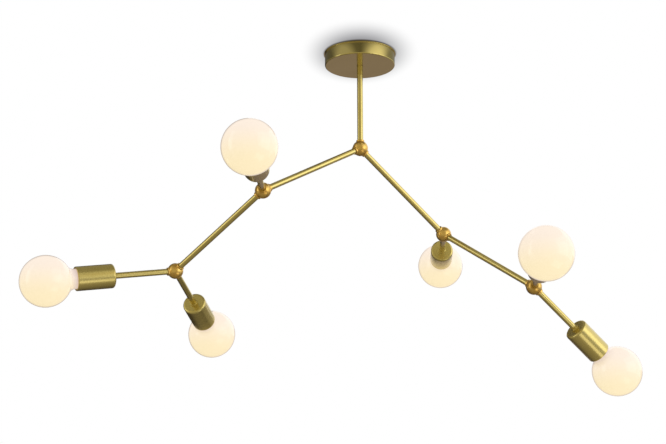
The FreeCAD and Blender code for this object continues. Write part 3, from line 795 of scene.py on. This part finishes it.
def stageObject(name, mesh, material, onlyInGloss=False):
    # Only in gloss, it is mirrored by the metal and glass and gives no other light or shadow
    mesh.materials.append(material)
    item = bpy.data.objects.new(name, mesh)
    bpy.context.scene.collection.objects.link(item)
    if onlyInGloss:
        item.visible_camera = False
        item.visible_diffuse = False
        item.visible_shadow = False
        item.visible_transmission = False


def discMesh(name, height, radius, faceDown=False, hole=0.0):
    # Flat disc, or a flat ring if it has a hole
    work = bmesh.new()
    place = Matrix.Translation((0, 0, height / 1000))
    for reach in ((radius, hole) if hole else (radius,)):
        bmesh.ops.create_circle(work, cap_ends=not hole, segments=stageSetup["discSteps"],
                                radius=reach / 1000, matrix=place)
    if hole:
        bmesh.ops.bridge_loops(work, edges=work.edges)
    if faceDown:
        bmesh.ops.reverse_faces(work, faces=work.faces)
    mesh = bpy.data.meshes.new(name)
    work.to_mesh(mesh)
    work.free()
    return mesh


def paleFloor(setup):
    # Pale from above, with the object's shadow on it, and clear from below
    material, tree = newMaterial("paleFloor")
    tone = linearColour(setup["floorTone"])
    surface = addNode(tree, "ShaderNodeBsdfDiffuse", None, {"Color": tone})
    rays = addNode(tree, "ShaderNodeLightPath").outputs
    lift = addNode(tree, "ShaderNodeMath", {"operation": "MULTIPLY"}, {
        0: rays["Is Camera Ray"], 1: setup["floorLift"]}).outputs[0]
    paint = addNode(tree, "ShaderNodeEmission", None, {"Color": tone, "Strength": lift})
    lit = addNode(tree, "ShaderNodeAddShader", None, {
        0: surface.outputs["BSDF"], 1: paint.outputs["Emission"]})
    clear = addNode(tree, "ShaderNodeBsdfTransparent")
    behind = addNode(tree, "ShaderNodeNewGeometry").outputs["Backfacing"]
    mix = addNode(tree, "ShaderNodeMixShader", None, {
        0: behind, 1: lit.outputs["Shader"], 2: clear.outputs["BSDF"]})
    return finishMaterial(material, mix.outputs["Shader"])


# Shade on the ceiling round the canopy: a soft halo, and a dark line where the lip meets the ceiling
shadeSetup = {
    "haloNarrow": 1.5, "haloStart": 38.0, "haloEnd": 150.0, "haloTone": "#858589",
    "lineNarrow": 1.04, "lineMiddle": -1.2, "lineStart": 58.5, "lineEnd": 64.5, "lineTone": "#4A423A",
}

# What the canopy's side mirrors of the ceiling near it, as a painted reflection of the ceiling's light and
# shade:
# grey on the left, darkest in the middle and lit on the right, by place across, and dimmer behind. The hole
# leaves light for the canopy's inside.
mirrorSetup = {
    "height": 0.2, "radius": 130.0, "hole": 57.0, "frontLine": -65.0, "backLine": -18.0, "backShare": 0.26,
    "tones": {-42.0: "#B1AFAA", -15.0: "#6B6962", 2.0: "#64625A", 14.0: "#8B8982", 26.0: "#B9B7B0",
              40.0: "#EAE8E2", 62.0: "#FFFEFA"},
}


def fadeAlongCeiling(tree, middle, narrow, start, end):
    # From 0 to 1 between two distances from a point in front of the canopy's middle. Narrow is how many
    # times longer a distance across counts, which makes the shade narrower.
    place = addNode(tree, "ShaderNodeTexCoord").outputs["Object"]
    moved = addNode(tree, "ShaderNodeMapping", {"vector_type": "POINT"}, {
        "Vector": place, "Location": (0, -middle / 1000, 0), "Scale": (narrow, 1, 1)})
    distance = addNode(tree, "ShaderNodeVectorMath", {"operation": "LENGTH"}, {
        0: moved.outputs["Vector"]}).outputs["Value"]
    return addNode(tree, "ShaderNodeMapRange", {"interpolation_type": "SMOOTHSTEP"}, {
        "Value": distance, "From Min": start / 1000, "From Max": end / 1000}).outputs["Result"]


def whiteCeiling(setup):
    # White with its shade from below, and clear from above and to the light, so that the room's light
    # still reaches the object
    material, tree = newMaterial("whiteCeiling")
    halo = fadeAlongCeiling(tree, 0.0, setup["haloNarrow"], setup["haloStart"], setup["haloEnd"])
    line = fadeAlongCeiling(tree, setup["lineMiddle"], setup["lineNarrow"],
                            setup["lineStart"], setup["lineEnd"])
    soft = addNode(tree, "ShaderNodeMix", {"data_type": "RGBA"}, {
        0: halo, 6: linearColour(setup["haloTone"]), 7: linearColour("#FFFFFF")})
    tone = addNode(tree, "ShaderNodeMix", {"data_type": "RGBA"}, {
        0: line, 6: linearColour(setup["lineTone"]), 7: soft.outputs[2]})
    paint = addNode(tree, "ShaderNodeEmission", None, {"Color": tone.outputs[2]})
    clear = addNode(tree, "ShaderNodeBsdfTransparent")
    rays = addNode(tree, "ShaderNodeLightPath").outputs
    seen = addNode(tree, "ShaderNodeMath", {"operation": "MAXIMUM"}, {
        0: rays["Is Camera Ray"], 1: rays["Is Transmission Ray"]}).outputs[0]
    behind = addNode(tree, "ShaderNodeNewGeometry").outputs["Backfacing"]
    shown = addNode(tree, "ShaderNodeMath", {"operation": "SUBTRACT", "use_clamp": True}, {
        0: seen, 1: behind}).outputs[0]
    mix = addNode(tree, "ShaderNodeMixShader", None, {
        0: shown, 1: clear.outputs["BSDF"], 2: paint.outputs["Emission"]})
    return finishMaterial(material, mix.outputs["Shader"])


def mirroredCeiling(setup):
    # Glows in its tones from left to right, and less from the front line to the back line
    material, tree = newMaterial("mirroredCeiling")
    place = addNode(tree, "ShaderNodeTexCoord").outputs["Object"]
    sides = addNode(tree, "ShaderNodeSeparateXYZ", None, {"Vector": place}).outputs
    reach = setup["radius"]
    across = addNode(tree, "ShaderNodeMapRange", None, {
        "Value": sides["X"], "From Min": -reach / 1000, "From Max": reach / 1000}).outputs["Result"]
    tone = addNode(tree, "ShaderNodeValToRGB", None, {"Fac": across})
    ramp = tone.color_ramp.elements
    while len(ramp) < len(setup["tones"]):
        ramp.new(1.0)
    for stop, (spot, colour) in zip(ramp, setup["tones"].items()):
        stop.position = (spot + reach) / (2 * reach)
        stop.color = linearColour(colour)
    dimming = addNode(tree, "ShaderNodeMapRange", {"interpolation_type": "SMOOTHSTEP"}, {
        "Value": sides["Y"], "From Min": setup["frontLine"] / 1000, "From Max": setup["backLine"] / 1000,
        "To Min": 1.0, "To Max": setup["backShare"]}).outputs["Result"]
    paint = addNode(tree, "ShaderNodeEmission", None, {"Color": tone.outputs["Color"], "Strength": dimming})
    return finishMaterial(material, paint.outputs["Emission"])


def glowingCard(name, colour):
    material, tree = newMaterial(name)
    paint = addNode(tree, "ShaderNodeEmission", None, {"Color": linearColour(colour)})
    return finishMaterial(material, paint.outputs["Emission"])


def shadedCard(name, setup):
    # Darker towards the back, past the light
    material, tree = newMaterial(name)
    place = addNode(tree, "ShaderNodeTexCoord").outputs["Object"]
    back = addNode(tree, "ShaderNodeSeparateXYZ", None, {"Vector": place}).outputs["Y"]
    away = addNode(tree, "ShaderNodeMapRange", {"interpolation_type": "SMOOTHSTEP"}, {
        "Value": back, "From Min": setup["underDarkens"] / 1000, "From Max": setup["distance"] / 1000})
    tone = addNode(tree, "ShaderNodeMix", {"data_type": "RGBA"}, {
        0: away.outputs["Result"], 6: linearColour(setup["underTone"]),
        7: linearColour(setup["underBackTone"])})
    paint = addNode(tree, "ShaderNodeEmission", None, {"Color": tone.outputs[2]})
    return finishMaterial(material, paint.outputs["Emission"])


stageObject("floor", discMesh("floor", stageSetup["floorHeight"], stageSetup["reach"]),
            paleFloor(stageSetup))
stageObject("ceiling", discMesh("ceiling", stageSetup["ceilingGap"], stageSetup["reach"], True),
            whiteCeiling(shadeSetup))
stageObject("mirroredCeiling", discMesh("mirroredCeiling", mirrorSetup["height"], mirrorSetup["radius"],
                                        hole=mirrorSetup["hole"]), mirroredCeiling(mirrorSetup), True)


def whiteSurround(setup):
    # White wherever it is seen, straight or in metal and glass; softer as the light of the room
    world = bpy.data.worlds.new("whiteSurround")
    bpy.context.scene.world = world
    world.cycles.sampling_method = "NONE"
    world.use_nodes = True
    tree = world.node_tree
    tree.nodes.clear()
    surround = addNode(tree, "ShaderNodeBackground", None, {
        "Color": linearColour("#FFFFFF"), "Strength": 1.0})
    room = addNode(tree, "ShaderNodeBackground", None, {
        "Color": linearColour(setup["roomTint"]), "Strength": setup["roomLight"]})
    rays = addNode(tree, "ShaderNodeLightPath").outputs
    direct = addNode(tree, "ShaderNodeMath", {"operation": "MAXIMUM"}, {
        0: rays["Is Camera Ray"], 1: rays["Is Glossy Ray"]}).outputs[0]
    seen = addNode(tree, "ShaderNodeMath", {"operation": "MAXIMUM"}, {
        0: direct, 1: rays["Is Transmission Ray"]}).outputs[0]
    blend = addNode(tree, "ShaderNodeMixShader", None, {
        0: seen, 1: room.outputs["Background"], 2: surround.outputs["Background"]})
    addNode(tree, "ShaderNodeOutputWorld", None, {"Surface": blend.outputs["Shader"]})


whiteSurround(stageSetup)
print("floor, ceiling and surround placed")

# Studio cards round the light, seen only in gloss: they give the brass its darker bands and edges.
# Azimuths run from 0, behind the camera, to the right, and each card has its own top. The gaps show
# the white surround.
cardSetup = {
    "distance": 3600.0, "low": -2350.0, "high": 3300.0, "steps": 8,
    "overTone": "#9A9688", "underTone": "#9C9688", "underBackTone": "#403C38", "underDarkens": -1080.0,
}
wallCards = {
    # first and last azimuth, top and tone
    "frontCard": (-66.0, 33.0, 3300.0, "#BAB5A0"),
    "backRightCard": (114.0, 150.0, -150.0, "#8F8A7C"),
    "backCard": (150.0, 188.0, 500.0, "#918688"),
    "backDarkCard": (188.0, 222.0, 3300.0, "#38332E"),
    "backLeftCard": (222.0, 277.0, 3300.0, "#8C877A"),
}


def wallCardMesh(name, first, last, top, setup):
    # Upright card, bent round the light
    work = bmesh.new()
    columns = []
    for step in range(setup["steps"] + 1):
        angle = math.radians(first + (last - first) * step / setup["steps"])
        across = Vector((math.sin(angle), -math.cos(angle), 0)) * setup["distance"] / 1000
        columns.append([work.verts.new(across + Vector((0, 0, end / 1000))) for end in (setup["low"], top)])
    for near, far in zip(columns, columns[1:]):
        work.faces.new([near[0], far[0], far[1], near[1]])
    mesh = bpy.data.meshes.new(name)
    work.to_mesh(mesh)
    work.free()
    return mesh


for cardName, (firstAngle, lastAngle, cardTop, tone) in wallCards.items():
    stageObject(cardName, wallCardMesh(cardName, firstAngle, lastAngle, cardTop, cardSetup),
                glowingCard(cardName, tone), True)
stageObject("overCard", discMesh("overCard", cardSetup["high"], cardSetup["distance"]),
            glowingCard("overCard", cardSetup["overTone"]), True)
stageObject("underCard", discMesh("underCard", cardSetup["low"], cardSetup["distance"]),
            shadedCard("underCard", cardSetup), True)

# Softboxes: azimuth to the right of the camera and elevation in degrees, distance, width and height in
# millimetres, radiance
softboxes = {
    "keyBox": (63.0, 7.0, 2600.0, 2000.0, 1700.0, 0.76),
    "fillBox": (-72.0, 6.0, 2600.0, 800.0, 1400.0, 0.60),
    "lowBox": (54.0, -48.0, 2500.0, 1600.0, 1200.0, 0.92),
}


def softbox(name, azimuth, elevation, distance, width, height, radiance):
    # Faces the middle of the object, and isn't seen itself
    side = math.radians(azimuth)
    lift = math.radians(elevation)
    away = Vector((math.sin(side) * math.cos(lift), -math.cos(side) * math.cos(lift), math.sin(lift)))
    data = bpy.data.lights.new(name, "AREA")
    data.shape = "RECTANGLE"
    data.size = width / 1000
    data.size_y = height / 1000
    data.energy = radiance * math.pi * data.size * data.size_y
    lamp = bpy.data.objects.new(name, data)
    lamp.location = Vector(stageSetup["middle"]) / 1000 + away * distance / 1000
    lamp.rotation_euler = (-away).to_track_quat("-Z", "Y").to_euler()
    lamp.visible_camera = False
    bpy.context.scene.collection.objects.link(lamp)


for boxName, values in softboxes.items():
    softbox(boxName, *values)
bpy.context.scene.view_settings.view_transform = "Standard"
print("cards and softboxes placed")
